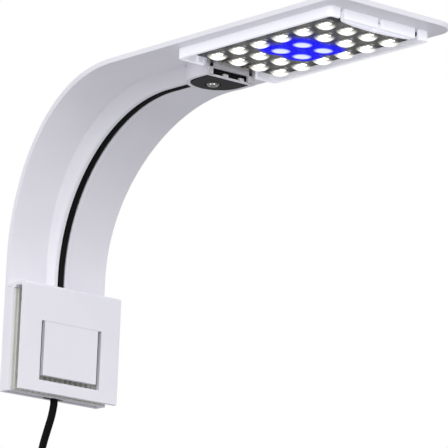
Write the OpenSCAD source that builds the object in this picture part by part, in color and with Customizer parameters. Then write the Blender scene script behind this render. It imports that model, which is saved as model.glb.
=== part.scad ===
/* [Arm] */
// Width of the arm where the clamp holds it
arm_w = 57; // [54:1:60]
// Width of the head
head_w = 70; // [68:1:76]
// Thickness of the moulded sheet
sheet_t = 2.4; // [2.2:0.1:2.8]
// Radius of the bend, on its inner face
bend_r = 80; // [74:1:84]
// Height of the head's underside above the glass rim
head_z = 92.5; // [90:0.5:110]
// From the middle of the glass to the tip of the head
reach = 227.5; // [227.5:0.5:240]
// Radius of the head's two tip corners
tip_r = 10; // [6:1:12]

/* [Clamp] */
// Widest glass that the slot takes
glass_gap = 5; // [4.8:0.1:5.2]
// Depth of the slot below the glass rim
slot_depth = 49.6; // [48:0.2:56]
// Thickness of the front jaw
jaw_t = 2.2; // [2:0.1:2.6]
// Thickness of the bridge over the glass rim
deck_t = 1.6; // [1.4:0.1:3]
// Space behind the slot's rear wall
duct_d = 3.1; // [3:0.1:3.4]
// Thickness of the slot's rear wall
rear_t = 1.4; // [1.3:0.1:1.6]
// Thickness of the ribbed grip pad
pad_t = 1.6; // [1.4:0.1:1.8]
// Pitch of the pad's upright ribs
rib_pitch = 3; // [2.6:0.2:4]
// Width of the press tongue
tongue_w = 31.2; // [24:0.2:32]
// Width of the slit round the tongue
slit_w = 2; // [1.6:0.1:2.4]
// Height of the tongue, from its foot to its hinge axis
tongue_h = 25.1; // [22:0.1:26]

/* [Lamp module] */
// Length of the black module plate
module_l = 96.9; // [96:0.1:98]
// Width of the black module plate
module_w = 50.5; // [50:0.1:51]
// Distance between lamp columns, along the head
column_pitch = 14.7; // [14:0.1:14.8]
// Distance between lamp rows, across the head
row_pitch = 12.3; // [10:0.1:12.6]
// Height of the collar round the module
collar_h = 4.6; // [4:0.1:5.4]
// Thickness of the collar's walls
collar_t = 1.8; // [1.5:0.1:2]

/* [Cord] */
// Diameter of the cord
cord_d = 3.6; // [3.4:0.1:3.6]

/* [Hidden] */

$fn = 64;
eps = 0.01;
past = 1; // how far a cut or a root runs past the face that it starts from

// Stations across the clamp, from the back of the arm to the front of the jaw
pad_x = -glass_gap / 2;            // face of the pad's ribs
rear_x = pad_x - pad_t;            // face of the slot's rear wall
duct_x = rear_x - rear_t;          // back of the slot's rear wall
arm_x = duct_x - duct_d;           // inner face of the arm
jaw_x = glass_gap / 2;             // face of the jaw that meets the glass
front_x = jaw_x + jaw_t;

// The bend, from upright to level
bend_x = arm_x + bend_r;
bend_z = head_z - bend_r;
flare_w = (head_w - arm_w) / 2;
flare_h = bend_r - 1;              // rise over which the arm widens to the head
flare_r = (pow(flare_h, 2) + pow(flare_w, 2)) / (2 * flare_w);

// The cord's place in its channel
cord_r = cord_d / 2;
cord_x = arm_x + 2;
cord_drop = 5.2;                   // depth of its centre below the head's inner face
cord_z = head_z - cord_drop;
cord_bend_r = bend_r - 1;          // the cord cuts the corner a little
cord_bend_x = cord_x + cord_bend_r;
cord_bend_z = cord_z - cord_bend_r;
groove_r = cord_r + 0.1;
ridge_rise = 1.2;                  // height of the channel's walls over the cord's centre
ridge_root = cord_drop + 1;        // depth of their roots under it
ridge_top = 8.4;                   // width over the walls, at their top
ridge_slope = 0.72;                // how fast each wall spreads towards its root
duct_gap = 0.3;                    // room round the cord behind the slot

// The tongue's hinge
hinge_x = jaw_x + jaw_t / 2;
hinge_gap = 0.15;
slit_foot = 2.5;                   // height of the slit below the tongue
lip_h = 0.8;                       // ledge of the bridge over the pad
brow_r = 1.4;                      // rounding where the bridge turns into the jaw
tongue_z = -slot_depth + 8;        // foot of the tongue
hinge_z = tongue_z + tongue_h;
bump_r = 1.1;                      // ridge on the tongue that presses on the glass
bump_h = 0.6;
bump_z = tongue_z + 5;

// The clamp's four screws
screw_y = 22.5;
screw_top_z = -6;
screw_low_z = -slot_depth + 6.6;
pilot_r = 1.1;

// Stations along the head
module_x2 = reach - 15.5;
module_x1 = module_x2 - module_l;
collar_x1 = module_x1 - 3.6;
collar_x2 = module_x2 + 4.2;
collar_w = module_w + 7.5;
collar_z = head_z - collar_h;
first_column_x = reach - 100;
columns = 6;
rows = 4;

// Levels of the module, from the head's inner face down
base_t = 1.8;
board_t = 1.0;
led_t = 0.7;
glow_t = 0.1;
gasket_t = 0.8;
flange_t = 0.8;
face_t = 1.6;                      // thickness of the cover's face and walls
base_z = head_z - base_t;
board_z = base_z - board_t;
led_z = board_z - led_t;
gasket_z = base_z - gasket_t;
flange_z = gasket_z - flange_t;
cover_z = head_z - 6;
step_z = cover_z + 1.4;
step_in = 1.2;
cover_r = 3.4;
cover_x1 = module_x1 + 4.6;
cover_x2 = module_x2 - 3.5;
cover_w = module_w - 0.3;
board_in = 2;

// The spring bow that the module's far end snaps behind
bow_half = 21;
bow_depth = 3.3;
bow_r = (pow(bow_half, 2) + pow(bow_depth, 2)) / (2 * bow_depth);
bow_x = module_x2 + bow_r - bow_depth;
bow_gap = 0.4;
bow_t = 1.5;
notch_w = 2.4;                     // notches in the collar's far wall
notch_y = [-21.7, 0, 21.7];
guide_y = 17.5;                    // ribs inside the collar that steer the module
guide_w = 2.4;
guide_l = 1.4;

// The rounded connector block and its screw
block_r = 11.65;
block_x = module_x1 - 9.7;         // centre of its round end
block_x2 = module_x1 - 2;
block_z = head_z - 9.1;
block_t = 1.6;
floor_t = 1.8;
ring_t = 2;                        // wall of the collar round the block
ring_r = block_r + 0.65;
ring_z = block_z + 0.1;
port_half = 10.25;                 // port in the collar's wall between block and module
port_z1 = ring_z + 0.8;
port_z2 = cover_z + 0.8;
peg_y = [-2.7, 6.5];               // two pegs that stand in the port
peg_w = 2.6;
peg_h = 1.2;
cord_way = groove_r + 0.3;         // half width of the cord's way in
head_screw_x = block_x - 3.1;
head_screw_r = 1.25;
head_screw_tip = head_z + 1;
boss_r = 3.5;
post_r = 4.6;                      // the block's own post, round the boss
boss_h = 3;
counter_r = 3.7;
counter_h = 1.8;
block_in_r = block_r - block_t;    // inner wall of the block
gland_x1 = block_x - block_in_r + 0.1;
gland_l = 1;
pin_y = 6;
contact_z = gasket_z + gasket_t / 2;
contact_r = 0.35;
lead_r = 0.6;
lead_z = cord_z + 0.4;

// The free cord: straight out of the clamp, back and down to the switch
lead_route = [
    [cord_x, 0, -slot_depth], [cord_x, 0, -slot_depth - 3], [-8, 0, -57.8], [-10.5, 0, -63.6],
    [-13, 0, -69.4], [-14.8, 0, -75], [-15.8, 0, -79.5], [-16, 0, -83.8]
];
// From the switch over to the first turn of the hank
bridge_route = [
    [-16, 0, -124.2], [-16, 0, -127.5], [-14.9, 1.3, -132.5], [-12.6, 3.8, -137.5],
    [-9.8, 7, -142.5], [-7.4, 9.7, -147.5], [-6.4, 10.8, -153], [-6.4, 10.8, -160]
];
// From the last turn of the hank to the plug
tail_route = [[-37.6, 10.8, -201.3], [-37.6, 10.8, -204.5], [-37.6, 10.8, -207.8]];

// The hank: eight long turns, side by side
hank_turns = 8;
hank_pitch = 3.9;
hank_fold_r = 10.8;                // radius of the folds, at the cord's centre
hank_x = -22;
hank_top_z = -147.4;
hank_l = 60;
hank_w = 2 * hank_fold_r + cord_d;
hank_t = hank_turns * hank_pitch + cord_d;
tie_t = 1.2;
tie_w = 10;

// The switch in the cord
switch_x = -16;
switch_z = -104;
switch_l = 44;
switch_w = 20;
switch_h = 7;                      // depth of each half of its case
switch_wall = 1.8;
rocker_x = switch_x + switch_h - 2.6;
rocker_l = 12;
rocker_w = 8;
rocker_tilt = 8;
axle_r = 1;
axle_l = 14;

// The plug hangs below the hank
plug_x = -37.6;
plug_y = 10.8;
plug_z = -205.8;
sleeve_l = 20;
plug_l = 34;
plug_w = 32;
plug_t = 13.6;
pin_r = 2;
pin_l = 19;
pin_spacing = 18.6;
pin_root = 6;
pin_root_r = 1.6;

abs_white = [0.90, 0.90, 0.93];
abs_black = [0.07, 0.07, 0.08];
soft_black = [0.05, 0.05, 0.05];
pad_grey = [0.62, 0.63, 0.58];
steel = [0.78, 0.78, 0.80];
brass = [0.80, 0.66, 0.32];

// A box from one corner to the other
module span(a, b) {
    translate(a) cube(b - a);
}

// A level slab between two heights with all four upright edges rounded
module round_slab(x1, x2, w, r, z1, z2) {
    span([x1 + r, -w / 2, z1], [x2 - r, w / 2, z2]);
    span([x1, -w / 2 + r, z1], [x2, w / 2 - r, z2]);
    for (x = [x1 + r, x2 - r], y = [-w / 2 + r, w / 2 - r])
        translate([x, y, z1]) cylinder(r = r, h = z2 - z1);
}

// A tube along a route, its rings square to the route's own direction
function unit(v) = v / norm(v);
function heading(route, i) =
    unit(route[min(i + 1, len(route) - 1)] - route[max(i - 1, 0)]);
function ring(route, i, r, sides) =
    let (t = heading(route, i), a = unit(cross(t, [0.1, 1, 0])), b = cross(t, a))
    [for (k = [0:sides - 1])
        route[i] + r * (cos(360 * k / sides) * a + sin(360 * k / sides) * b)];

module tube(route, r, sides = 8) {
    n = len(route);
    points = [for (i = [0:n - 1]) each ring(route, i, r, sides)];
    walls = [for (i = [0:n - 2], k = [0:sides - 1])
        let (a = i * sides + k, b = i * sides + (k + 1) % sides)
        [a, b, b + sides, a + sides]];
    ends = [[for (k = [sides - 1:-1:0]) k], [for (k = [0:sides - 1]) (n - 1) * sides + k]];
    polyhedron(points = points, faces = concat(walls, ends));
}

// Everything that follows a bend is swept about the bend's axis
module about(x, z) {
    translate([x, 0, z])
        rotate([90, 0, 0]) rotate([0, 0, 90])
            rotate_extrude(angle = 90, $fn = 180) children();
}

// Section of the cord's channel: height over the cord's centre, then width
module channel_section() {
    foot = ridge_top / 2 + ridge_slope * (ridge_rise + ridge_root);
    difference() {
        polygon([
            [-ridge_root, -foot], [ridge_rise, -ridge_top / 2],
            [ridge_rise, ridge_top / 2], [-ridge_root, foot]
        ]);
        circle(r = groove_r);
        translate([0, -groove_r]) square([ridge_rise + past, 2 * groove_r]);
    }
}

// The channel grows taller round the bend; its roots end inside the sheet
module cord_channel() {
    wide = 2 * ridge_top;          // wider than the roots at their widest
    intersection() {
        union() {
            translate([cord_x, 0, deck_t])
                linear_extrude(cord_bend_z - deck_t) channel_section();
            about(cord_bend_x, cord_bend_z)
                translate([cord_bend_r, 0]) mirror([1, 0]) channel_section();
            translate([cord_bend_x, 0, cord_z]) rotate([0, 90, 0])
                linear_extrude(block_x - ring_r - ring_t / 2 - cord_bend_x) channel_section();
        }
        union() {
            translate([bend_x, -wide, bend_z]) rotate([-90, 0, 0])
                cylinder(r = bend_r + past, h = 2 * wide, $fn = 180);
            span([arm_x - past, -wide, 0], [bend_x, wide, bend_z]);
            span([bend_x, -wide, bend_z], [block_x, wide, head_z + past]);
        }
    }
}

module arm_sheet() {
    span([arm_x - sheet_t, -arm_w / 2, -slot_depth], [arm_x, arm_w / 2, bend_z]);
    difference() {
        about(bend_x, bend_z) translate([bend_r, -head_w / 2]) square([sheet_t, head_w]);
        for (side = [-1, 1])
            translate([arm_x - sheet_t - past, side * (arm_w / 2 + flare_r), bend_z])
                rotate([0, 90, 0]) cylinder(r = flare_r, h = bend_r + sheet_t, $fn = 180);
    }
    span([bend_x, -head_w / 2, head_z], [reach - tip_r, head_w / 2, head_z + sheet_t]);
    span([bend_x, -head_w / 2 + tip_r, head_z], [reach, head_w / 2 - tip_r, head_z + sheet_t]);
    for (side = [-1, 1])
        translate([reach - tip_r, side * (head_w / 2 - tip_r), head_z])
            cylinder(r = tip_r, h = sheet_t);
}

// Plan of the block's collar or of the block itself, between two heights
module block_plan(r, z1, z2, x2) {
    intersection() {
        translate([block_x, 0, z1]) cylinder(r = r, h = z2 - z1);
        span([block_x - r - past, -r - past, z1], [block_x + past, r + past, z2]);
    }
    span([block_x, -r, z1], [x2, r, z2]);
}

module head_collar() {
    top = head_z + past;
    difference() {
        union() {
            difference() {
                round_slab(collar_x1, collar_x2, collar_w, 2.5, collar_z, top);
                round_slab(collar_x1 + collar_t, collar_x2 - collar_t,
                    collar_w - 2 * collar_t, 1.2, collar_z - past, head_z);
            }
            block_plan(ring_r + ring_t, ring_z, top, module_x1);
        }
        block_plan(ring_r, ring_z - past, head_z, collar_x1 + collar_t);
        // the cord's way in, the port towards the module and the contacts' holes
        span([block_x - ring_r - ring_t - past, -cord_way, ring_z - past],
            [block_x - ring_r + past, cord_way, head_z]);
        span([block_x2, -port_half, port_z1], [module_x1 + past, port_half, port_z2]);
        for (side = [-1, 1])
            translate([block_x2, side * pin_y, contact_z]) rotate([0, 90, 0])
                cylinder(r = contact_r + 0.25, h = module_x1 - block_x2 + past);
        for (y = notch_y)
            span([collar_x2 - collar_t - past, y - notch_w / 2, collar_z - past],
                [collar_x2 + past, y + notch_w / 2, head_z]);
    }
    // two ribs that steer the module into place, and the pegs in the port
    for (side = [-1, 1])
        span([collar_x1 + collar_t - eps, side * guide_y - guide_w / 2, collar_z],
            [collar_x1 + collar_t + guide_l, side * guide_y + guide_w / 2, top]);
    for (y = peg_y)
        span([collar_x1 + collar_t, y - peg_w / 2, port_z1 - eps],
            [module_x1, y + peg_w / 2, port_z1 + peg_h]);
}

module spring_bow() {
    r = bow_r - bow_gap;
    half = bow_half - 0.6;
    difference() {
        intersection() {
            translate([bow_x, 0, collar_z]) cylinder(r = r, h = collar_h - 0.5, $fn = 180);
            span([module_x2 - bow_depth - past, -half, collar_z],
                [collar_x2 - collar_t + 0.2, half, head_z]);
        }
        translate([bow_x, 0, collar_z - past])
            cylinder(r = r - bow_t, h = collar_h + past, $fn = 180);
    }
    for (side = [-1, 1])
        span([module_x2 + 0.7, side * (half - 0.75) - 0.75, collar_z],
            [collar_x2 - collar_t + 0.2, side * (half - 0.75) + 0.75, head_z - 0.5]);
}

module screw_places() {
    for (y = [-screw_y, screw_y], z = [screw_low_z, screw_top_z])
        translate([0, y, z]) children();
}

module arm_shell() {
    color(abs_white)
    difference() {
        union() {
            arm_sheet();
            cord_channel();
            head_collar();
            spring_bow();
            translate([head_screw_x, 0, head_z - boss_h])
                cylinder(r = boss_r, h = boss_h + past);
            for (side = [-1, 1])
                span([arm_x - past, side * (arm_w / 2 - 1) - 1, -slot_depth],
                    [duct_x, side * (arm_w / 2 - 1) + 1, 0]);
            screw_places() translate([arm_x - past, 0, 0])
                rotate([0, 90, 0]) cylinder(r = 3, h = duct_d + past);
        }
        translate([head_screw_x, 0, head_z - boss_h - past])
            cylinder(r = head_screw_r, h = boss_h + past + sheet_t - 0.8);
        screw_places() translate([arm_x - sheet_t + 0.8, 0, 0])
            rotate([0, 90, 0]) cylinder(r = pilot_r, h = duct_d + sheet_t);
    }
}

module clamp_saddle() {
    foot_z = tongue_z - slit_foot;
    window_half = tongue_w / 2 + slit_w;
    color(abs_white)
    difference() {
        union() {
            span([duct_x, -arm_w / 2, -slot_depth], [rear_x, arm_w / 2, deck_t]);
            span([arm_x, -arm_w / 2, 0], [front_x - brow_r, arm_w / 2, deck_t]);
            span([jaw_x, -arm_w / 2, -slot_depth], [front_x, arm_w / 2, deck_t - brow_r]);
            translate([front_x - brow_r, -arm_w / 2, deck_t - brow_r]) rotate([-90, 0, 0])
                cylinder(r = brow_r, h = arm_w);
            span([duct_x, -arm_w / 2, -lip_h], [pad_x, arm_w / 2, deck_t]);
        }
        // way for the cord, through the bridge and down the rear wall
        span([arm_x - past, -groove_r - duct_gap, -past],
            [cord_x + cord_r + 0.1, groove_r + duct_gap, deck_t + past]);
        span([duct_x - past, -groove_r - duct_gap, -slot_depth - past],
            [cord_x + cord_r + 0.1, groove_r + duct_gap, past]);
        // window of the tongue, its head a round groove for the hinge
        span([jaw_x - past, -window_half, foot_z], [front_x + past, window_half, hinge_z]);
        translate([hinge_x, -window_half, hinge_z]) rotate([-90, 0, 0])
            cylinder(r = jaw_t / 2 + hinge_gap, h = 2 * window_half);
        screw_places() translate([duct_x - past, 0, 0]) rotate([0, 90, 0])
            cylinder(r = 1.4, h = rear_t + 2 * past);
        screw_places() translate([rear_x - 1, 0, 0]) rotate([0, 90, 0])
            cylinder(r1 = 1.4, r2 = 2.6, h = 1.2);
    }
}

module press_tongue() {
    color(abs_white) {
        span([jaw_x, -tongue_w / 2, tongue_z], [front_x, tongue_w / 2, hinge_z]);
        translate([hinge_x, -tongue_w / 2, hinge_z]) rotate([-90, 0, 0])
            cylinder(r = jaw_t / 2, h = tongue_w);
        translate([jaw_x - bump_h + bump_r, -tongue_w / 2 + 3, bump_z]) rotate([-90, 0, 0])
            cylinder(r = bump_r, h = tongue_w - 6);
    }
}

module grip_pad() {
    half = arm_w / 2 - 1;
    rib_w = rib_pitch / 2;
    count = floor((2 * half - rib_w) / rib_pitch);
    color(pad_grey)
    difference() {
        union() {
            span([rear_x, -half, -slot_depth + 0.6], [rear_x + 0.6, half, -lip_h]);
            for (k = [0:count])
                translate([rear_x, (k - count / 2) * rib_pitch - rib_w / 2, -slot_depth + 0.6])
                    cube([pad_t, rib_w, slot_depth - 0.6 - lip_h]);
        }
        screw_places() translate([rear_x - past, 0, 0]) rotate([0, 90, 0])
            cylinder(r = 2.9, h = pad_t + 2 * past);
    }
}

// A flat-headed screw, its head level with the slot's rear wall
module saddle_screw(side, z) {
    color(steel)
    translate([0, side * screw_y, z]) rotate([0, 90, 0])
    difference() {
        union() {
            translate([0, 0, arm_x - sheet_t + 1])
                cylinder(r = pilot_r, h = rear_x - arm_x + sheet_t - 1.2);
            translate([0, 0, rear_x - 1]) cylinder(r1 = 1.3, r2 = 2.4, h = 1);
        }
        for (turn = [0, 90])
            rotate([0, 0, turn]) translate([-1.3, -0.25, rear_x - 0.5]) cube([2.6, 0.5, 1]);
    }
}

module module_base() {
    color(abs_black)
    difference() {
        span([module_x1, -module_w / 2, base_z], [module_x2, module_w / 2, head_z]);
        translate([bow_x, 0, base_z - past]) cylinder(r = bow_r, h = base_t + 2 * past, $fn = 180);
    }
}

module led_board() {
    color([0.06, 0.06, 0.07])
        round_slab(cover_x1 + board_in, cover_x2 - board_in, cover_w - 2 * board_in, 1.5,
            board_z, base_z);
}

function is_blue(column, row) =
    (column == 2 || column == 3) && (row == 1 || row == 2);

module lamp_places(blue) {
    for (column = [0:columns - 1], row = [0:rows - 1])
        if (is_blue(column, row) == blue)
            translate([first_column_x + column * column_pitch, (row - 1.5) * row_pitch, 0])
                children();
}

module board_pads() {
    color(steel)
        for (blue = [false, true])
            lamp_places(blue)
                for (side = [-1, 1])
                    translate([side * 3.9 - 0.6, -0.9, board_z - 0.05]) cube([1.2, 1.8, 0.05]);
}

module board_resistors() {
    color([0.12, 0.12, 0.12])
        for (k = [-2.5:1:2.5])
            translate([first_column_x - 4.9, k * 6.15 - 1, board_z - 0.5]) cube([1.25, 2, 0.5]);
}

module led_bodies() {
    color([0.93, 0.93, 0.90])
        for (blue = [false, true])
            lamp_places(blue) translate([-2.85, -1.5, led_z]) cube([5.7, 3, led_t]);
}

module emitters(blue) {
    lamp_places(blue) translate([-2.45, -1.15, led_z - glow_t]) cube([4.9, 2.3, glow_t]);
}

module white_emitters() {
    color([1, 0.98, 0.86]) emitters(false);
}

module blue_emitters() {
    color([0.2, 0.3, 1]) emitters(true);
}

module cover_gasket() {
    color(soft_black)
    difference() {
        round_slab(cover_x1 + 0.2, cover_x2 - 0.2, cover_w - 0.4, 3.2, gasket_z, base_z);
        round_slab(cover_x1 + 1.7, cover_x2 - 1.7, cover_w - 3.4, 1.7, gasket_z - past, base_z + past);
        for (side = [-1, 1])
            translate([cover_x1 - past, side * pin_y, contact_z]) rotate([0, 90, 0])
                cylinder(r = contact_r, h = 5);
    }
}

module clear_cover() {
    color([0.9, 0.95, 1, 0.35])
    difference() {
        union() {
            difference() {
                span([module_x1 + 0.3, -cover_w / 2, flange_z],
                    [module_x2 - 0.3, cover_w / 2, gasket_z]);
                translate([bow_x, 0, flange_z - past])
                    cylinder(r = bow_r + 0.3, h = flange_t + 2 * past, $fn = 180);
            }
            round_slab(cover_x1, cover_x2, cover_w, cover_r, step_z, gasket_z);
            round_slab(cover_x1 + step_in, cover_x2 - step_in, cover_w - 2 * step_in,
                cover_r - step_in, cover_z, step_z + eps);
        }
        round_slab(cover_x1 + face_t, cover_x2 - face_t, cover_w - 2 * face_t,
            cover_r - face_t, cover_z + face_t, gasket_z + past);
    }
}

module connector_block() {
    color(abs_black)
    difference() {
        block_plan(block_r, block_z, head_z, block_x2);
        difference() {
            block_plan(block_in_r, block_z + floor_t, head_z + past, block_x2 - block_t);
            translate([head_screw_x, 0, block_z])
                cylinder(r = post_r, h = head_z - block_z + 2 * past);
        }
        translate([head_screw_x, 0, head_z - boss_h]) cylinder(r = boss_r + 0.2, h = boss_h + past);
        translate([head_screw_x, 0, block_z - past]) cylinder(r = 1.7, h = 8);
        translate([head_screw_x, 0, block_z - past]) cylinder(r = counter_r, h = counter_h + past);
        translate([block_x - block_r - past, 0, cord_z]) rotate([0, 90, 0])
            cylinder(r = cord_r, h = block_t + 2 * past);
        for (side = [-1, 1])
            translate([block_x2 - block_t - past, side * pin_y, contact_z]) rotate([0, 90, 0])
                cylinder(r = contact_r, h = block_t + 2 * past);
    }
}

module cord_gland() {
    color(soft_black)
    difference() {
        intersection() {
            span([gland_x1, -3.4, block_z + floor_t], [gland_x1 + gland_l, 3.4, head_z - 0.1]);
            translate([block_x, 0, block_z]) cylinder(r = block_in_r - 0.1, h = head_z - block_z);
        }
        translate([gland_x1 - past, 0, cord_z]) rotate([0, 90, 0])
            cylinder(r = cord_r, h = gland_l + 2 * past);
    }
}

// A lead from the cord's end, round the screw's post, to its contact
module lead(side) {
    route = [
        [gland_x1 + gland_l, side * 0.9, cord_z], [gland_x1 + gland_l + 0.4, side * 0.9, cord_z],
        [gland_x1 + gland_l + 1.2, side * 3.2, lead_z],
        [head_screw_x - 2.4, side * 6.6, lead_z], [head_screw_x + 1.4, side * 7.4, lead_z + 0.7],
        [head_screw_x + 4.6, side * 7, contact_z - 0.5],
        [block_x2 - block_t - 2, side * pin_y, contact_z]
    ];
    tube(route, lead_r);
}

module lead_live() {
    color([0.55, 0.25, 0.12]) lead(-1);
}

module lead_neutral() {
    color([0.12, 0.25, 0.6]) lead(1);
}

module contact_pins() {
    color(brass)
        for (side = [-1, 1])
            translate([block_x2 - block_t - 2, side * pin_y, contact_z]) rotate([0, 90, 0])
                cylinder(r = contact_r, h = block_t + 2 + cover_x1 + board_in - block_x2);
}

module head_washer() {
    color(steel)
    translate([head_screw_x, 0, block_z + counter_h - 0.5])
    difference() {
        cylinder(r = 3.5, h = 0.5);
        translate([0, 0, -past]) cylinder(r = 1.6, h = 0.5 + 2 * past);
    }
}

module head_screw() {
    head_low = block_z - 0.5;
    head_top = block_z + counter_h - 0.5;
    color(steel)
    difference() {
        union() {
            translate([head_screw_x, 0, head_low]) cylinder(r = 2.5, h = 0.6);
            translate([head_screw_x, 0, head_low + 0.6]) cylinder(r = 3, h = head_top - head_low - 0.6);
            translate([head_screw_x, 0, head_top]) cylinder(r = head_screw_r, h = head_screw_tip - head_top);
        }
        for (turn = [0, 90])
            translate([head_screw_x, 0, head_low - past]) rotate([0, 0, turn])
                translate([-1.7, -0.35, 0]) cube([3.4, 0.7, 0.9 + past]);
    }
}

module cord_clip() {
    color(soft_black)
    difference() {
        span([arm_x, -4.5, -slot_depth], [duct_x, 4.5, -slot_depth + 4]);
        translate([cord_x, 0, -slot_depth - past]) cylinder(r = cord_r, h = 4 + 2 * past);
    }
}

// The cord inside the light: up the clamp, round the bend, into the block
module cord_inner() {
    color(abs_black) {
        translate([cord_x, 0, -slot_depth]) cylinder(r = cord_r, h = slot_depth + cord_bend_z);
        about(cord_bend_x, cord_bend_z) translate([cord_bend_r, 0]) circle(r = cord_r);
        translate([cord_bend_x, 0, cord_z]) rotate([0, 90, 0])
            cylinder(r = cord_r, h = gland_x1 + gland_l - cord_bend_x);
    }
}

module cord_lead() {
    color(abs_black) tube(lead_route, cord_r);
}

module cord_bridge() {
    color(abs_black) tube(bridge_route, cord_r);
}

module cord_tail() {
    color(abs_black) tube(tail_route, cord_r);
}

module cord_hank() {
    end_r = hank_w / 2;
    color(abs_black)
    translate([hank_x - hank_t / 2, 0, 0]) {
        for (z = [hank_top_z - end_r, hank_top_z - hank_l + end_r])
            translate([0, 0, z]) rotate([0, 90, 0]) cylinder(r = end_r, h = hank_t);
        translate([0, -end_r, hank_top_z - hank_l + end_r]) cube([hank_t, hank_w, hank_l - hank_w]);
    }
}

module hank_tie() {
    half = [hank_t / 2, hank_w / 2, tie_w / 2];
    wall = [tie_t, tie_t, 0];
    color(soft_black)
    translate([hank_x, 0, hank_top_z - hank_l / 2])
    difference() {
        span(-half - wall, half + wall);
        span(-half - [0, 0, past], half + [0, 0, past]);
    }
}

// The two halves of the switch's case meet at the cord's own plane
module switch_half(side) {
    inner = [switch_h - switch_wall, switch_w / 2 - switch_wall, switch_l / 2 - switch_wall];
    translate([switch_x, 0, switch_z])
    difference() {
        mirror([side < 0 ? 1 : 0, 0, 0])
        difference() {
            union() {
                translate([0, -switch_w / 2 + 2, -switch_l / 2]) cube([switch_h, switch_w - 4, switch_l]);
                translate([0, -switch_w / 2, -switch_l / 2]) cube([switch_h - 2, switch_w, switch_l]);
                for (y = [-1, 1])
                    translate([switch_h - 2, y * (switch_w / 2 - 2), -switch_l / 2])
                        cylinder(r = 2, h = switch_l);
            }
            translate([-past, -inner.y, -inner.z]) cube([inner.x + past, 2 * inner.y, 2 * inner.z]);
        }
        translate([0, 0, -switch_l / 2 - past]) cylinder(r = cord_r, h = switch_l + 2 * past);
    }
}

module switch_base() {
    color(abs_black) switch_half(-1);
}

module switch_cover() {
    color(abs_black)
    difference() {
        union() {
            switch_half(1);
            // two cheeks that carry the rocker's axle
            for (side = [-1, 1])
                translate([switch_x + 1.6, side * 5.6 - 0.9, switch_z - 3]) cube([4.4, 1.8, 6]);
        }
        translate([switch_x, -rocker_w / 2 - 0.4, switch_z - rocker_l / 2 - 0.8])
            cube([switch_h + past, rocker_w + 0.8, rocker_l + 1.6]);
        translate([rocker_x, -axle_l / 2, switch_z]) rotate([-90, 0, 0])
            cylinder(r = axle_r, h = axle_l);
    }
}

module switch_rocker() {
    crown = 3.6;
    color([0.8, 0.1, 0.08])
    translate([rocker_x, 0, switch_z]) rotate([0, -rocker_tilt, 0])
    difference() {
        union() {
            translate([0, rocker_w / 2, 0]) rotate([90, 0, 0])
                linear_extrude(rocker_w)
                    polygon([
                        [-1.2, -3.4], [1.4, -rocker_l / 2 + 0.2], [crown + 0.6, -rocker_l / 2 + 0.2],
                        [crown - 0.4, 0], [crown + 0.6, rocker_l / 2 - 0.2],
                        [1.4, rocker_l / 2 - 0.2], [-1.2, 3.4]
                    ]);
            translate([0, -rocker_w / 2, 0]) rotate([-90, 0, 0]) cylinder(r = 2.2, h = rocker_w);
        }
        translate([0, -rocker_w / 2 - past, 0]) rotate([-90, 0, 0])
            cylinder(r = axle_r + 0.06, h = rocker_w + 2 * past);
    }
}

module switch_pin() {
    color(steel)
    translate([rocker_x, -axle_l / 2, switch_z]) rotate([-90, 0, 0])
        cylinder(r = axle_r, h = axle_l);
}

module plug_sleeve() {
    color(soft_black)
    translate([plug_x, plug_y, plug_z - sleeve_l])
    difference() {
        cylinder(r1 = 4.2, r2 = 2.6, h = sleeve_l);
        translate([0, 0, sleeve_l - 2]) cylinder(r = cord_r, h = 3);
    }
}

module plug_body() {
    top = plug_z - sleeve_l;
    face = top - plug_l;
    color(abs_black)
    difference() {
        hull() {
            for (side = [-1, 1]) {
                translate([plug_x, plug_y + side * (plug_w - plug_t) / 2, face])
                    cylinder(r = plug_t / 2, h = 14, $fn = 32);
                translate([plug_x, plug_y + side * 3.4, top - 6])
                    cylinder(r = 5.2, h = 6, $fn = 32);
            }
        }
        for (side = [-1, 1])
            translate([plug_x, plug_y + side * pin_spacing / 2, face - past])
                cylinder(r = pin_root_r, h = pin_root + past);
    }
}

module plug_pin(side) {
    face = plug_z - sleeve_l - plug_l;
    color(steel)
    translate([plug_x, plug_y + side * pin_spacing / 2, face - pin_l]) {
        cylinder(r = pin_r, h = pin_l);
        cylinder(r = pin_root_r, h = pin_l + pin_root);
    }
}

arm_shell();
clamp_saddle();
press_tongue();
grip_pad();
saddle_screw(-1, screw_top_z);  // saddle_screw_1
saddle_screw(1, screw_top_z);  // saddle_screw_2
saddle_screw(-1, screw_low_z);  // saddle_screw_3
saddle_screw(1, screw_low_z);  // saddle_screw_4
module_base();
led_board();
board_pads();
board_resistors();
led_bodies();
white_emitters();
blue_emitters();
cover_gasket();
clear_cover();
connector_block();
cord_gland();
lead_live();
lead_neutral();
contact_pins();
head_screw();
head_washer();
cord_clip();
cord_inner();
cord_lead();
cord_bridge();
cord_hank();
cord_tail();
hank_tie();
switch_base();
switch_cover();
switch_rocker();
switch_pin();
plug_sleeve();
plug_body();
plug_pin(-1);  // plug_pin_1
plug_pin(1);  // plug_pin_2
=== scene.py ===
import math

import bmesh
import bpy
import numpy as np
from mathutils import Matrix


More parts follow.
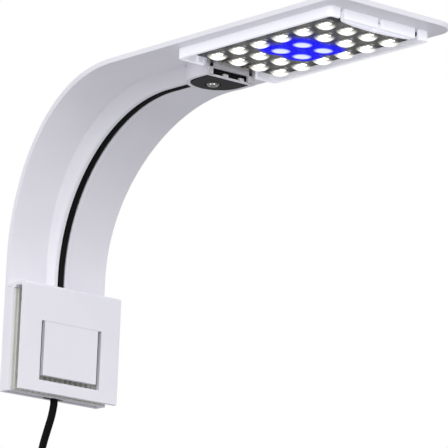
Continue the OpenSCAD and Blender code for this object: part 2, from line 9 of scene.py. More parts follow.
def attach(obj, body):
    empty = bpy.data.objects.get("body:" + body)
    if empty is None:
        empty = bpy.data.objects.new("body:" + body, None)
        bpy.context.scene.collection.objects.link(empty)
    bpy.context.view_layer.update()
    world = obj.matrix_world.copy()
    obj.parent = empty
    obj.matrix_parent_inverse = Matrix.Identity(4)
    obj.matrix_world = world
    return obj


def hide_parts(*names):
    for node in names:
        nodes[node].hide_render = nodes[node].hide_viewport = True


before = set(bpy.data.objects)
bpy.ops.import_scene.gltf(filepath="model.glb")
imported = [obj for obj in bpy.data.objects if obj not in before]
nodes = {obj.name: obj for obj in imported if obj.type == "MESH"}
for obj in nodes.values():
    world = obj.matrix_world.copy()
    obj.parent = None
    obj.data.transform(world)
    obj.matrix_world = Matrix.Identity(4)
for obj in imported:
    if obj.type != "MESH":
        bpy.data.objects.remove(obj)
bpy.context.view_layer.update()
print("stage: frame loaded")

mm = 0.001

# stations shared by several pieces, in millimetres, as the frame has them
armPlan = {
    "inner": -8.6,          # inner face of the upright
    "thick": 2.4,
    "foot": -49.6,
    "bend": (71.4, 12.5),   # axis of the quarter bend, X and Z
    "bendRadius": 80.0,
    "under": 92.5,          # underside of the head
    "tip": 227.5,
    "tipRadius": 10.0,
    "footWidth": 57.0,
    "headWidth": 70.0,
    "flareHeight": 79.0,
    "edge": 0.75,           # rounding of the rim
}
modulePlan = {"x2": 212.0, "lampX": 127.5, "pitch": 14.7, "row": 12.3, "columns": 6, "rows": 4}

cameraPlan = {
    "place": (1.4298, -1.0729, -0.3745),
    "back": (0.75517, -0.61591, -0.22444),
    "right": (0.63850, 0.76862, 0.03911),
    "lens": 311.4,
}


# the camera stands at its place and looks against back, with right to its right
def makeCamera(plan):
    back = np.array(plan["back"]) / np.linalg.norm(plan["back"])
    right = np.array(plan["right"]) - back * np.dot(plan["right"], back)
    right /= np.linalg.norm(right)
    up = np.cross(back, right)
    data = bpy.data.cameras.new("viewCamera")
    data.lens = plan["lens"]
    data.sensor_width = 36
    data.clip_start, data.clip_end = 0.05, 20
    camera = bpy.data.objects.new("viewCamera", data)
    matrix = Matrix.Identity(4)
    for i in range(3):
        matrix[i][0], matrix[i][1], matrix[i][2] = right[i], up[i], back[i]
        matrix[i][3] = plan["place"][i]
    camera.matrix_world = matrix
    bpy.context.scene.collection.objects.link(camera)
    bpy.context.scene.camera = camera


makeCamera(cameraPlan)

# metres: straight out of the clamp, back and down into the switch
leadRoute = [(-0.0066, 0, -0.0496), (-0.0066, 0, -0.0526), (-0.008, 0, -0.0578),
             (-0.0105, 0, -0.0636), (-0.013, 0, -0.0694), (-0.0148, 0, -0.075),
             (-0.0158, 0, -0.0795), (-0.016, 0, -0.0838)]
# metres: from the switch over to the hank's first turn
bridgeRoute = [(-0.016, 0, -0.1242), (-0.016, 0, -0.1275), (-0.0149, 0.0013, -0.1325),
               (-0.0126, 0.0038, -0.1375), (-0.0098, 0.007, -0.1425), (-0.0074, 0.0097, -0.1475),
               (-0.0064, 0.0108, -0.153), (-0.0064, 0.0108, -0.160)]
# metres: out of the hank and into the plug's sleeve
tailRoute = [(-0.0376, 0.0108, -0.2013), (-0.0376, 0.0108, -0.2045), (-0.0376, 0.0108, -0.2078)]
cordPlan = {"diameter": 0.0036, "turns": 8, "fold": 0.0108, "top": -0.160, "low": -0.1948,
            "firstX": -0.0064, "lastX": -0.0376, "sides": 16, "closeToX": (1.0, 0.02, 0.01)}


# a smooth curve through control points: each span blends its two neighbours' directions
def smoothRoute(points, perSpan=5):
    p = np.array(points, float)
    before, after = np.vstack([2 * p[0] - p[1], p[:-1]]), np.vstack([p[1:], 2 * p[-1] - p[-2]])
    slope = (after - before) / 2
    t = np.linspace(0, 1, perSpan, endpoint=False)[None, :, None]
    a, b, sa, sb = p[:-1, None], p[1:, None], slope[:-1, None], slope[1:, None]
    spans = ((2 * t**3 - 3 * t**2 + 1) * a + (t**3 - 2 * t**2 + t) * sa
             + (-2 * t**3 + 3 * t**2) * b + (t**3 - t**2) * sb)
    return np.vstack([spans.reshape(-1, 3), p[-1:]])


# turns of a hank: down one side, round the low fold, up the other side, round the top fold
def hankRoute(plan, perFold=9):
    angle = np.linspace(0, math.pi, perFold)
    fold, middle = plan["fold"], (plan["top"] + plan["low"]) / 2
    low = np.column_stack([fold * np.cos(angle), plan["low"] - fold * np.sin(angle)])
    top = np.column_stack([-fold * np.cos(angle), plan["top"] + fold * np.sin(angle)])
    turn = np.vstack([low, [[-fold, middle]], top, [[fold, middle]]])
    yz = np.vstack([np.tile(turn, (plan["turns"], 1)), [[fold, plan["low"]]]])
    run = np.concatenate([[0], np.cumsum(np.linalg.norm(np.diff(yz, axis=0), axis=1))])
    drift = np.clip(run / run[-1], 0, 1)
    x = plan["firstX"] + (plan["lastX"] - plan["firstX"]) * drift
    return np.column_stack([x, yz])


# the whole free cord in one line, in metres: lead, bridge, hank and tail
def cordRoute(plan):
    return np.vstack([smoothRoute(leadRoute), smoothRoute(bridgeRoute)[:-1], hankRoute(plan),
                      tailRoute])


# faces of a grid of rows by columns, each row a closed ring; a loop joins its last row to its first
def gridFaces(rows, columns, loop=False):
    i = np.arange(rows if loop else rows - 1)[:, None]
    j = np.arange(columns)[None, :]
    after, nextRow = (j + 1) % columns, (i + 1) % rows
    quads = np.stack([i * columns + j, i * columns + after, nextRow * columns + after,
                      nextRow * columns + j], axis=-1)
    return quads.reshape(-1, 4).tolist()


# a row of rings with a face over each end: its points in one list, and its faces
def closedTube(rings):
    rows, columns = rings.shape[:2]
    ends = [list(range(columns))[::-1], list(range((rows - 1) * columns, rows * columns))]
    return rings.reshape(-1, 3), gridFaces(rows, columns) + ends


# a round tube: at each point of the route a ring of plan["sides"] points, square to the way the
# route runs there; its side is the run crossed with a line close to X, which the cord never
# follows, and its up is the run crossed with the side
def makeCord(plan, route):
    run = np.gradient(route, axis=0)
    run /= np.linalg.norm(run, axis=1)[:, None]
    side = np.cross(run, plan["closeToX"])
    side /= np.linalg.norm(side, axis=1)[:, None]
    up = np.cross(run, side)
    angle = np.linspace(0, 2 * math.pi, plan["sides"], endpoint=False)[None, :, None]
    rings = route[:, None, :] + plan["diameter"] / 2 * (np.cos(angle) * side[:, None, :]
                                                        + np.sin(angle) * up[:, None, :])
    points, faces = closedTube(rings)
    mesh = bpy.data.meshes.new("freeCord")
    mesh.from_pydata(points.tolist(), [], faces)
    mesh.update()
    mesh.polygons.foreach_set("use_smooth", np.ones(len(mesh.polygons), bool))
    cord = bpy.data.objects.new("freeCord", mesh)
    bpy.context.scene.collection.objects.link(cord)
    length = float(np.linalg.norm(np.diff(route, axis=0), axis=1).sum())
    print(f"stage: cord laid, {length:.3f} m")
    return cord


route = cordRoute(cordPlan)
freeCord = makeCord(cordPlan, route)
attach(freeCord, "light")
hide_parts("cord_lead", "cord_bridge", "cord_hank", "cord_tail")


def linear(hexColour):
    parts = [int(hexColour[i:i + 2], 16) / 255 for i in (1, 3, 5)]
    return tuple(v / 12.92 if v <= 0.04045 else ((v + 0.055) / 1.055) ** 2.4 for v in parts) + (1,)


def addNode(tree, kind, settings=None, links=None):
    node = tree.nodes.new(kind)
    for key, value in (settings or {}).items():
        if isinstance(key, int) or key in node.inputs:
            node.inputs[key].default_value = value
        else:
            setattr(node, key, value)
    for key, source in (links or {}).items():
        tree.links.new(source, node.inputs[key])
    return node


def newMaterial(name, shaderSettings):
    material = bpy.data.materials.new(name)
    material.use_nodes = True
    tree = material.node_tree
    tree.nodes.clear()
    shader = addNode(tree, "ShaderNodeBsdfPrincipled", shaderSettings)
    addNode(tree, "ShaderNodeOutputMaterial", links={"Surface": shader.outputs[0]})
    place = addNode(tree, "ShaderNodeTexCoord").outputs["Object"]
    return material, tree, shader, place


# a surface of two close shades, with a grain in its relief and its gloss;
# grainSize and cloudSize are real sizes in millimetres
def grainedMaterial(name, shades, rough, grainSize, cloudSize, relief, extra=None):
    material, tree, shader, place = newMaterial(name, extra or {})
    cloud = addNode(tree, "ShaderNodeTexNoise", {"Scale": 1 / (cloudSize * mm), "Detail": 3.0},
                    {"Vector": place})
    grain = addNode(tree, "ShaderNodeTexNoise", {"Scale": 1 / (grainSize * mm), "Detail": 2.0},
                    {"Vector": place})
    colour = addNode(tree, "ShaderNodeMix", {"data_type": "RGBA"}, {"Factor": cloud.outputs["Fac"]})
    colour.inputs[6].default_value, colour.inputs[7].default_value = map(linear, shades)
    tree.links.new(colour.outputs[2], shader.inputs["Base Color"])
    gloss = addNode(tree, "ShaderNodeMapRange", {"To Min": rough[0], "To Max": rough[1]},
                    {"Value": grain.outputs["Fac"]})
    tree.links.new(gloss.outputs[0], shader.inputs["Roughness"])
    bump = addNode(tree, "ShaderNodeBump", {"Strength": relief[0], "Distance": relief[1] * mm},
                   {"Height": grain.outputs["Fac"]})
    tree.links.new(bump.outputs[0], shader.inputs["Normal"])
    return material


# ABS, injection moulded in a fine spark-eroded mould: a soft sheen, and a faint cloud in the white;
# the real grain is about 0.1 mm, drawn at 0.5 mm so that it shows
whiteAbs = grainedMaterial("mouldedWhiteAbs", ("#eae9f0", "#f1f0f5"), (0.34, 0.44), 0.5, 25,
                           (0.10, 0.05), {"IOR": 1.53})
# the same ABS where the lamps shine into it, painted lighter and given a faint glow of its own:
# painted light standing in for the little of the lamps' light that it passes on
paintedGlowAbs = grainedMaterial("paintedGlowWhiteAbs", ("#f2f2f6", "#f6f6f9"), (0.34, 0.44), 0.5, 25,
                         (0.10, 0.05), {"IOR": 1.53, "Emission Color": linear("#f4f4ff"),
                                        "Emission Strength": 0.3})
# TPE grip, moulded on: dull, a little greenish, dust in its pores at 0.4 mm
gripTpe = grainedMaterial("ribbedGripTpe", ("#cfd0c7", "#dadbd3"), (0.65, 0.8), 0.4, 8,
                          (0.3, 0.08), {"IOR": 1.5})
# ABS, dyed black, fine texture
blackAbs = grainedMaterial("mouldedBlackAbs", ("#09090c", "#111115"), (0.38, 0.52), 0.45, 12,
                           (0.15, 0.05), {"IOR": 1.53, "Specular IOR Level": 0.15})
# PVC cord jacket, drawn smooth: drag marks too fine to see, dull bloom
cordPvc = grainedMaterial("drawnCordPvc", ("#030303", "#080808"), (0.5, 0.62), 0.35, 6,
                          (0.15, 0.04), {"IOR": 1.52, "Specular IOR Level": 0.12})
# EPDM rubber, pressed: matte
blackRubber = grainedMaterial("pressedRubber", ("#0c0c0c", "#171717"), (0.6, 0.75), 0.3, 5,
                              (0.2, 0.05), {"IOR": 1.52})
# glass-epoxy board under black solder resist: gloss with weave just showing
boardResist = grainedMaterial("boardSolderResist", ("#0a0b0e", "#111318"), (0.3, 0.42), 0.35, 4,
                              (0.12, 0.03), {"IOR": 1.55, "Specular IOR Level": 0.25})
# PPA lamp package, moulded white, glossy
packagePpa = grainedMaterial("lampPackagePpa", ("#e6e5dc", "#f0efe8"), (0.25, 0.35), 0.3, 3,
                             (0.1, 0.02), {"IOR": 1.6})
# sintered ceramic chip with a dark glaze
chipGlaze = grainedMaterial("glazedChip", ("#0e0e0e", "#1c1c1c"), (0.3, 0.45), 0.3, 2,
                            (0.1, 0.02), {"IOR": 1.6})
# polycarbonate rocker, dyed red, from a polished mould: a sharp shine
redRocker = grainedMaterial("polishedRockerPc", ("#a5120e", "#b5160f"), (0.16, 0.24), 0.5, 6,
                            (0.05, 0.03), {"IOR": 1.58})
leadBrown = grainedMaterial("brownLeadPvc", ("#5a2c16", "#6a351c"), (0.4, 0.5), 0.3, 4,
                            (0.1, 0.02), {"IOR": 1.52})
leadBlue = grainedMaterial("blueLeadPvc", ("#1c3f96", "#2449a6"), (0.4, 0.5), 0.3, 4,
                           (0.1, 0.02), {"IOR": 1.52})


# metal: a plated or turned face with fine lines about its axis, drawn 0.25 mm apart
def platedMetal(name, shades, rough):
    material, tree, shader, place = newMaterial(name, {"Metallic": 1.0})
    lines = addNode(tree, "ShaderNodeTexNoise", {"Scale": 4000.0, "Detail": 2.0}, {"Vector": place})
    wear = addNode(tree, "ShaderNodeTexNoise", {"Scale": 700.0, "Detail": 3.0}, {"Vector": place})
    colour = addNode(tree, "ShaderNodeMix", {"data_type": "RGBA"}, {"Factor": wear.outputs["Fac"]})
    colour.inputs[6].default_value, colour.inputs[7].default_value = map(linear, shades)
    tree.links.new(colour.outputs[2], shader.inputs["Base Color"])
    gloss = addNode(tree, "ShaderNodeMapRange", {"To Min": rough[0], "To Max": rough[1]},
                    {"Value": lines.outputs["Fac"]})
    tree.links.new(gloss.outputs[0], shader.inputs["Roughness"])
    bump = addNode(tree, "ShaderNodeBump", {"Strength": 0.15, "Distance": 0.00002},
                   {"Height": lines.outputs["Fac"]})
    tree.links.new(bump.outputs[0], shader.inputs["Normal"])
    return material


# nickel plate on steel, bright with a warm-grey cast
nickel = platedMetal("nickelPlatedSteel", ("#c9c7c2", "#dcdbd8"), (0.18, 0.32))
# tinned solder pads, dull silver
tinned = platedMetal("tinnedPad", ("#b9bbbd", "#cfd0d2"), (0.3, 0.45))
# turned brass contacts
turnedBrass = platedMetal("turnedBrass", ("#b8934a", "#cba65a"), (0.22, 0.35))


# lit phosphor or lit chip: bright in the middle of each lamp, a shade dimmer at its rim
def litMaterial(name, glow, strength, base):
    material, tree, shader, place = newMaterial(name, {"Roughness": 0.5,
                                                       "Base Color": linear(base),
                                                       "Emission Strength": strength})
    cloud = addNode(tree, "ShaderNodeTexNoise", {"Scale": 900.0, "Detail": 1.0}, {"Vector": place})
    colour = addNode(tree, "ShaderNodeMix", {"data_type": "RGBA"}, {"Factor": cloud.outputs["Fac"]})
    colour.inputs[6].default_value, colour.inputs[7].default_value = map(linear, glow)
    tree.links.new(colour.outputs[2], shader.inputs["Emission Color"])
    return material


whiteLit = litMaterial("litWhitePhosphor", ("#fffaf0", "#ffffff"), 9.0, "#fff6dc")
blueLit = litMaterial("litBlueChip", ("#1a2cff", "#3a4cff"), 7.0, "#3040ff")


# polycarbonate cover, moulded clear: sees through, with a faint haze and slight flow waves; its
# rims, seen edge on, catch a little more light
def clearPolycarbonate(name):
    material, tree, shader, place = newMaterial(name, {"Base Color": linear("#f4f7fb"),
                                                       "IOR": 1.58, "Roughness": 0.08,
                                                       "Specular IOR Level": 0.3})
    edge = addNode(tree, "ShaderNodeLayerWeight", {"Blend": 0.5})
    thin = addNode(tree, "ShaderNodeMapRange", {"From Min": 0.9, "From Max": 1.0,
                                                "To Min": 0.03, "To Max": 0.3},
                   {"Value": edge.outputs["Facing"]})
    tree.links.new(thin.outputs[0], shader.inputs["Alpha"])
    wave = addNode(tree, "ShaderNodeTexNoise", {"Scale": 60.0, "Detail": 1.0}, {"Vector": place})
    bump = addNode(tree, "ShaderNodeBump", {"Strength": 0.08, "Distance": 0.0004},
                   {"Height": wave.outputs["Fac"]})
    tree.links.new(bump.outputs[0], shader.inputs["Normal"])
    return material


clearPc = clearPolycarbonate("clearMouldedPc")


# painted glow in the clear face over each lamp, standing in for the lamps' bloom: a white-hot core
# inside a coloured patch that fades to nothing, read from the patch's own UV, whose middle is at
# 0.5
def paintedBloom(name, core, halo, strength, coreEdge, fadeEdge, dense):
    material, tree, shader, _ = newMaterial(name, {"Roughness": 0.6, "Base Color": (0, 0, 0, 1),
                                                   "Emission Strength": strength,
                                                   "Specular IOR Level": 0.0})
    uv = addNode(tree, "ShaderNodeUVMap", {"uv_map": "patch"})
    away = addNode(tree, "ShaderNodeVectorMath", {"operation": "DISTANCE", 1: (0.5, 0.5, 0)},
                   {0: uv.outputs[0]})
    blend = addNode(tree, "ShaderNodeMapRange", {"interpolation_type": "SMOOTHSTEP",
                                                 "From Min": coreEdge[0], "From Max": coreEdge[1]},
                    {"Value": away.outputs["Value"]})
    colour = addNode(tree, "ShaderNodeMix", {"data_type": "RGBA"}, {"Factor": blend.outputs[0]})
    colour.inputs[6].default_value, colour.inputs[7].default_value = linear(core), linear(halo)
    tree.links.new(colour.outputs[2], shader.inputs["Emission Color"])
    fade = addNode(tree, "ShaderNodeMapRange", {"interpolation_type": "SMOOTHERSTEP",
                                                "From Min": 0.5, "From Max": fadeEdge,
                                                "To Min": 0.0, "To Max": dense},
                   {"Value": away.outputs["Value"]})
    tree.links.new(fade.outputs[0], shader.inputs["Alpha"])
    return material


whiteBloomPaint = paintedBloom("whiteBloomPaint", "#ffffff", "#fffdf0", 1.3, (0.1, 0.4), 0.2, 0.97)
blueBloomPaint = paintedBloom("blueBloomPaint", "#dfe6ff", "#1410ea", 1.15, (0.11, 0.2), 0.28, 0.93)
print("stage: materials made")

freeCord.data.materials.append(cordPvc)


# a mesh object from points in millimetres and faces, riding on a body
def makePiece(name, points, faces, material, body="light", slot=None, edge=0, segments=3):
    mesh = bpy.data.meshes.new(name)
    mesh.from_pydata((np.asarray(points, float) * mm).tolist(), [], [list(f) for f in faces])
    mesh.validate()
    mesh.update()
    mesh.polygons.foreach_set("use_smooth", np.ones(len(mesh.polygons), bool))
    mesh.materials.append(material)
    piece = bpy.data.objects.new(name, mesh)
    bpy.context.scene.collection.objects.link(piece)
    finishEdges(piece, edge, segments)
    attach(piece, body)
    return piece


# rounds every edge sharper than angle degrees, edge millimetres wide, and evens out the shading
def finishEdges(piece, edge, segments=3, angle=40):
    if edge:
        bevel = piece.modifiers.new("rounded", "BEVEL")
        bevel.width = edge * mm
        bevel.segments = segments
        bevel.limit_method = "ANGLE"
        bevel.angle_limit = math.radians(angle)
        bevel.miter_outer = "MITER_ARC"
    normals = piece.modifiers.new("evenNormals", "WEIGHTED_NORMAL")
    normals.keep_sharp = False


# a closed profile carried along a path: each ring is path + a * side + b * up, for (a, b) of the
# profile; both ends are closed with one face each unless the path is a loop
def carryProfile(profile, path, side, up, loop=False):
    profile, path = np.asarray(profile, float), np.asarray(path, float)
    rings = (path[:, None, :] + profile[None, :, :1] * np.asarray(side, float)[:, None, :]
             + profile[None, :, 1:] * np.asarray(up, float)[:, None, :])
    if loop:
        return rings.reshape(-1, 3), gridFaces(len(path), len(profile), True)
    return closedTube(rings)


# turn faces so that the closed mesh has a positive volume
def outward(points, faces):
    points = np.asarray(points, float)
    volume = 0.0
    for size in sorted({len(f) for f in faces}):
        same = np.array([f for f in faces if len(f) == size])
        for k in range(1, size - 1):
            a, b, c = points[same[:, 0]], points[same[:, k]], points[same[:, k + 1]]
            volume += np.einsum("ij,ij->i", a, np.cross(b, c)).sum()
    return [f[::-1] for f in faces] if volume < 0 else faces


# a wall of even thickness standing on a plan line: its section is a rectangle, thickness by
# height, set square to the line at every point
def standWall(line, thick, low, high, loop=False):
    line = np.asarray(line, float)
    before = np.roll(line, 1, axis=0) if loop else np.vstack([2 * line[0] - line[1], line[:-1]])
    after = np.roll(line, -1, axis=0) if loop else np.vstack([line[1:], 2 * line[-1] - line[-2]])
    ahead = line - before
    ahead /= np.linalg.norm(ahead, axis=1)[:, None]
    beyond = after - line
    beyond /= np.linalg.norm(beyond, axis=1)[:, None]
    mean = ahead + beyond
    mean /= np.linalg.norm(mean, axis=1)[:, None]
    widen = 1 / np.clip((mean * ahead).sum(1), 0.5, 1)
    normal = np.column_stack([-mean[:, 1], mean[:, 0]]) * widen[:, None]
    path = np.column_stack([line, np.full(len(line), low)])
    side = np.column_stack([normal, np.zeros(len(line))])
    up = np.tile([0, 0, 1.0], (len(line), 1))
    profile = [(-thick / 2, 0), (thick / 2, 0), (thick / 2, high - low), (-thick / 2, high - low)]
    points, faces = carryProfile(profile, path, side, up, loop)
    return points, outward(points, faces)


# points on a circular arc, from one angle to another in degrees
def arcLine(centre, radius, start, end, count):
    angle = np.radians(np.linspace(start, end, count))
    return np.column_stack([centre[0] + radius * np.cos(angle), centre[1] + radius * np.sin(angle)])


# outline of a rectangle with rounded corners, counter-clockwise
def roundRect(x1, x2, width, radius, count=7):
    half = width / 2
    return np.vstack([
        arcLine((x1 + radius, -half + radius), radius, 180, 270, count),
        arcLine((x2 - radius, -half + radius), radius, 270, 360, count),
        arcLine((x2 - radius, half - radius), radius, 0, 90, count),
        arcLine((x1 + radius, half - radius), radius, 90, 180, count)])


# joins several (points, faces) parts into one
def joinParts(parts):
    points, faces, start = [], [], 0
    for p, f in parts:
        points.append(np.asarray(p, float))
        faces += [[i + start for i in face] for face in f]
        start += len(p)
    return np.vstack(points), faces


# a copy of a CAD node with its flat faces merged and its edges rounded
def softened(node, name, material, body="light", edge=0.4, segments=3, angle=35):
    source = nodes[node]
    piece = bpy.data.objects.new(name, source.data.copy())
    bpy.context.scene.collection.objects.link(piece)
    piece.data.transform(source.matrix_world)
    shape = bmesh.new()
    shape.from_mesh(piece.data)
    bmesh.ops.remove_doubles(shape, verts=shape.verts, dist=2e-6)
    bmesh.ops.dissolve_limit(shape, angle_limit=math.radians(0.6), verts=shape.verts,
                             edges=shape.edges, use_dissolve_boundaries=False)
    for face in shape.faces:
        face.smooth = True
    shape.to_mesh(piece.data)
    shape.free()
    piece.data.materials.clear()
    piece.data.materials.append(material)
    finishEdges(piece, edge, segments, angle)
    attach(piece, body)
    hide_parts(node)
    return piece


def dress(node, material):
    mesh = nodes[node].data
    if not mesh.materials:
        mesh.materials.append(material)
    for i in range(len(mesh.materials)):
        mesh.materials[i] = material


# the arm's line at its inner face: up the straight, round the quarter bend, out along the head
def armStations(plan, perUpright=9, perBend=44, perHead=11, perTip=14):
    bendX, bendZ = plan["bend"]
    upright = np.column_stack([np.full(perUpright, plan["inner"]),
                               np.linspace(plan["foot"], bendZ, perUpright)])
    angle = np.linspace(0, math.pi / 2, perBend)[1:]
    bend = np.column_stack([bendX - plan["bendRadius"] * np.cos(angle),
                            bendZ + plan["bendRadius"] * np.sin(angle)])
    corner = plan["tip"] - plan["tipRadius"]
    head = np.column_stack([np.linspace(bendX, corner, perHead + 1)[1:],
                            np.full(perHead, plan["under"])])
    turn = np.linspace(0, math.pi / 2, perTip)[1:]
    tip = np.column_stack([corner + plan["tipRadius"] * np.sin(turn),
                           np.full(len(turn), plan["under"])])
    line = np.vstack([upright, bend, head, tip])
    out = np.vstack([np.tile([-1, 0], (perUpright, 1)),
                     np.column_stack([-np.cos(angle), np.sin(angle)]),
                     np.tile([0, 1], (perHead + len(turn), 1))]).astype(float)
    return line, out, turn


# half width of the arm at a height: straight, then flaring on one large arc up to the head
def armHalfWidth(plan, z):
    flare = (plan["headWidth"] - plan["footWidth"]) / 2
    rise = plan["flareHeight"]
    radius = (rise**2 + flare**2) / (2 * flare)
    up = np.clip(z - plan["bend"][1], 0, None)
    return np.clip(plan["footWidth"] / 2 + radius - np.sqrt(np.clip(radius**2 - up**2, 0, None)),
                   None, plan["headWidth"] / 2)


# the sheet: at each station a flat strip from side to side, inner face and outer face
def armSheet(plan, across=18):
    line, out, turn = armStations(plan)
    inner = armHalfWidth(plan, line[:, 1])
    outerLine = line + out * plan["thick"]
    outer = armHalfWidth(plan, outerLine[:, 1])
    inner[-len(turn):] = plan["headWidth"] / 2 - plan["tipRadius"] * (1 - np.cos(turn))
    outer[-len(turn):] = inner[-len(turn):]
    v = np.linspace(-1, 1, across + 1)
    innerRow = np.stack([np.repeat(line[:, :1], len(v), 1), inner[:, None] * v,
                         np.repeat(line[:, 1:], len(v), 1)], axis=-1)
    outerRow = np.stack([np.repeat(outerLine[:, :1], len(v), 1), outer[:, None] * v[::-1],
                         np.repeat(outerLine[:, 1:], len(v), 1)], axis=-1)
    rings = np.concatenate([innerRow, outerRow], axis=1)
    rows, columns = rings.shape[:2]
    faces = gridFaces(rows, columns)
    k = np.arange(across)
    last = (rows - 1) * columns
    foot = np.column_stack([k + 1, k, columns - 1 - k, columns - 2 - k])
    tip = np.column_stack([last + k, last + k + 1, last + columns - 2 - k, last + columns - 1 - k])
    faces += foot.tolist() + tip.tolist()
    points = rings.reshape(-1, 3)
    return points, outward(points, faces)


channelPlan = {"bend": (72.4, 8.3), "bendRadius": 79.0, "x": -6.6, "level": 87.3, "top": 8.4,
               "rise": 1.2, "slope": 0.72, "groove": 1.9, "start": 1.6, "end": 92.1, "edge": 0.45}


# depth from the cord's centre line to the middle of the sheet, looking away from the bend's axis
def rootDepth(arm, x, z, outX, outZ):
    bendX, bendZ = arm["bend"]
    radius = arm["bendRadius"] + arm["thick"] / 2
    # on the bend: distance t with |(x, z) + t * out - axis| = radius
    dx, dz = x - bendX, z - bendZ
    along = dx * outX + dz * outZ
    bend = -along + np.sqrt(along**2 - (dx**2 + dz**2) + radius**2)
    flat = np.where(outX < -0.999, x - arm["inner"] + arm["thick"] / 2,
                    arm["under"] + arm["thick"] / 2 - z)
    straight = (z <= bendZ) | (x >= bendX)
    return np.where(straight, flat, bend)


# the cord's channel: a ridge with a round-bottomed groove, carried along the cord's own line; its
# walls spread towards a root that lies in the middle of the sheet
def cordChannel(plan, arm, perBend=72):
    bendX, bendZ = plan["bend"]
    angle = np.linspace(0, math.pi / 2, perBend)
    arc = np.column_stack([bendX - plan["bendRadius"] * np.cos(angle),
                           bendZ + plan["bendRadius"] * np.sin(angle)])
    line = np.vstack([[plan["x"], plan["start"]], [plan["x"], (plan["start"] + bendZ) / 2], arc,
                      [(bendX + plan["end"]) / 2, plan["level"]], [plan["end"], plan["level"]]])
    out = np.vstack([[-1, 0], [-1, 0], np.column_stack([-np.cos(angle), np.sin(angle)]),
                     [0, 1], [0, 1]]).astype(float)
    depth = rootDepth(arm, line[:, 0], line[:, 1], out[:, 0], out[:, 1])
    # the section, root to root: offset across the arm, and rise towards the bend's axis
    turn = np.linspace(-math.pi, 0, 11)
    half, groove, rise = plan["top"] / 2, plan["groove"], plan["rise"]
    across = np.concatenate([[0, -half, -groove], groove * np.cos(turn), [groove, half, 0]])
    height = np.concatenate([[0, rise, rise], groove * np.sin(turn), [rise, rise, 0]])
    across = np.tile(across, (len(line), 1))
    height = np.tile(height, (len(line), 1))
    foot = half + plan["slope"] * (rise + depth)
    across[:, 0], across[:, -1] = -foot, foot
    height[:, 0] = height[:, -1] = -depth
    points, faces = closedTube(np.stack([line[:, :1] - height * out[:, :1], across,
                                         line[:, 1:] - height * out[:, 1:]], axis=-1))
    return points, outward(points, faces)


collarPlan = {"x1": 111.5, "x2": 216.2, "width": 58.0, "thick": 1.8, "low": 87.9, "root": 92.9,
              "corner": 2.5, "notch": 2.4, "notches": (-21.7, 0, 21.7), "guideY": 17.5,
              "guideWidth": 2.4, "guideLength": 1.4, "sink": 0.2, "edge": 0.4}
ringPlan = {"x": 105.4, "radius": 12.3, "thick": 2.0, "notch": 2.2, "low": 83.5, "root": 92.9,
            "endWall": (113.3, 115.1), "port": 10.25, "portLow": 84.3, "portHigh": 87.3,
            "pegs": (-2.7, 6.5), "pegWidth": 2.6, "pegHigh": 85.5, "sink": 0.2,
            "apart": 0.01, "edge": 0.25}


# the module's collar: a wall round a rounded rectangle, open where the block's ring joins it,
# its far wall cut by three notches, with two guides inside its near wall
def headCollar(plan, ring):
    t = plan["thick"] / 2
    low, root, nearX, farX = plan["low"], plan["root"], plan["x1"] + t, plan["x2"] - t
    line = roundRect(nearX, farX, plan["width"] - 2 * t, plan["corner"] - t)
    join = ring["radius"] + ring["thick"] / 2
    cornerY = plan["width"] / 2 - plan["corner"]
    first, second = np.split(line, 2)
    n = plan["notch"] / 2
    stops = [-cornerY] + [y + s * n for y in plan["notches"] for s in (-1, 1)] + [cornerY]
    walls = [np.vstack([[nearX, -join], first[:-1], [farX, -cornerY], [farX, stops[1]]]),
             np.vstack([[farX, stops[-2]], [farX, cornerY], second[1:], [nearX, join]]),
             [[farX, stops[2]], [farX, stops[3]]],
             [[farX, stops[4]], [farX, stops[5]]]]
    parts = [standWall(wall, plan["thick"], low, root) for wall in walls]
    for y in (-plan["guideY"], plan["guideY"]):
        guide = [[nearX + t - plan["sink"], y], [nearX + t + plan["guideLength"], y]]
        parts.append(standWall(guide, plan["guideWidth"], low, root))
    return joinParts(parts)


# the block's ring: half a circle and two straights, open where the cord comes in, and closed
# towards the module by a wall with a port in it; two pegs stand in the port. Faces that would
# share a plane are kept "apart" from each other
def blockRing(ring):
    middle = ring["radius"] + ring["thick"] / 2
    gap = math.degrees(math.asin(ring["notch"] / middle))
    near, far = ring["endWall"]
    parts = []
    for side in (-1, 1):
        arc = arcLine((ring["x"], 0), middle, 180 - side * gap, 180 - side * 90, 18)
        line = np.vstack([arc, [far, arc[-1][1]]])
        parts.append(standWall(line, ring["thick"], ring["low"], ring["root"]))
    x, thick, apart = (near + far) / 2, far - near, ring["apart"]
    bottom, top = ring["low"] + apart, ring["root"] - apart
    for y1, y2, low, high in ((-middle, -ring["port"], bottom + apart, top - apart),
                              (ring["port"], middle, bottom + apart, top - apart),
                              (-middle, middle, bottom, ring["portLow"]),
                              (-middle, middle, ring["portHigh"], top)):
        parts.append(standWall([[x, y1], [x, y2]], thick - 2 * apart, low, high))
    half = ring["pegWidth"] / 2
    for y in ring["pegs"]:
        parts.append(standWall([[x, y - half], [x, y + half]], thick - 4 * apart,
                               ring["portLow"] - ring["sink"], ring["pegHigh"]))
    return joinParts(parts)


bowPlan = {"half": 21.0, "depth": 3.3, "gap": 0.4, "thick": 1.5, "low": 87.9, "high": 92.0,
           "endInset": 1.35, "footStep": 0.6, "sink": 0.2, "edge": 0.35}


# the latch: an arc that bulges towards the module, with a short foot at each end
def springBow(plan, module, collar):
    radius = (plan["half"]**2 + plan["depth"]**2) / (2 * plan["depth"])
    centre = module["x2"] + radius - plan["depth"]
    middle = radius - plan["gap"] - plan["thick"] / 2
    reachY = plan["half"] - plan["endInset"]
    sweep = math.degrees(math.asin(reachY / middle))
    arc = arcLine((centre, 0), middle, 180 + sweep, 180 - sweep, 33)
    root = collar["x2"] - collar["thick"] + plan["sink"]
    line = np.vstack([[root, -reachY], [arc[0][0] + plan["footStep"], -reachY], arc[1:-1],
                      [arc[-1][0] + plan["footStep"], reachY], [root, reachY]])
    return standWall(line, plan["thick"], plan["low"], plan["high"])


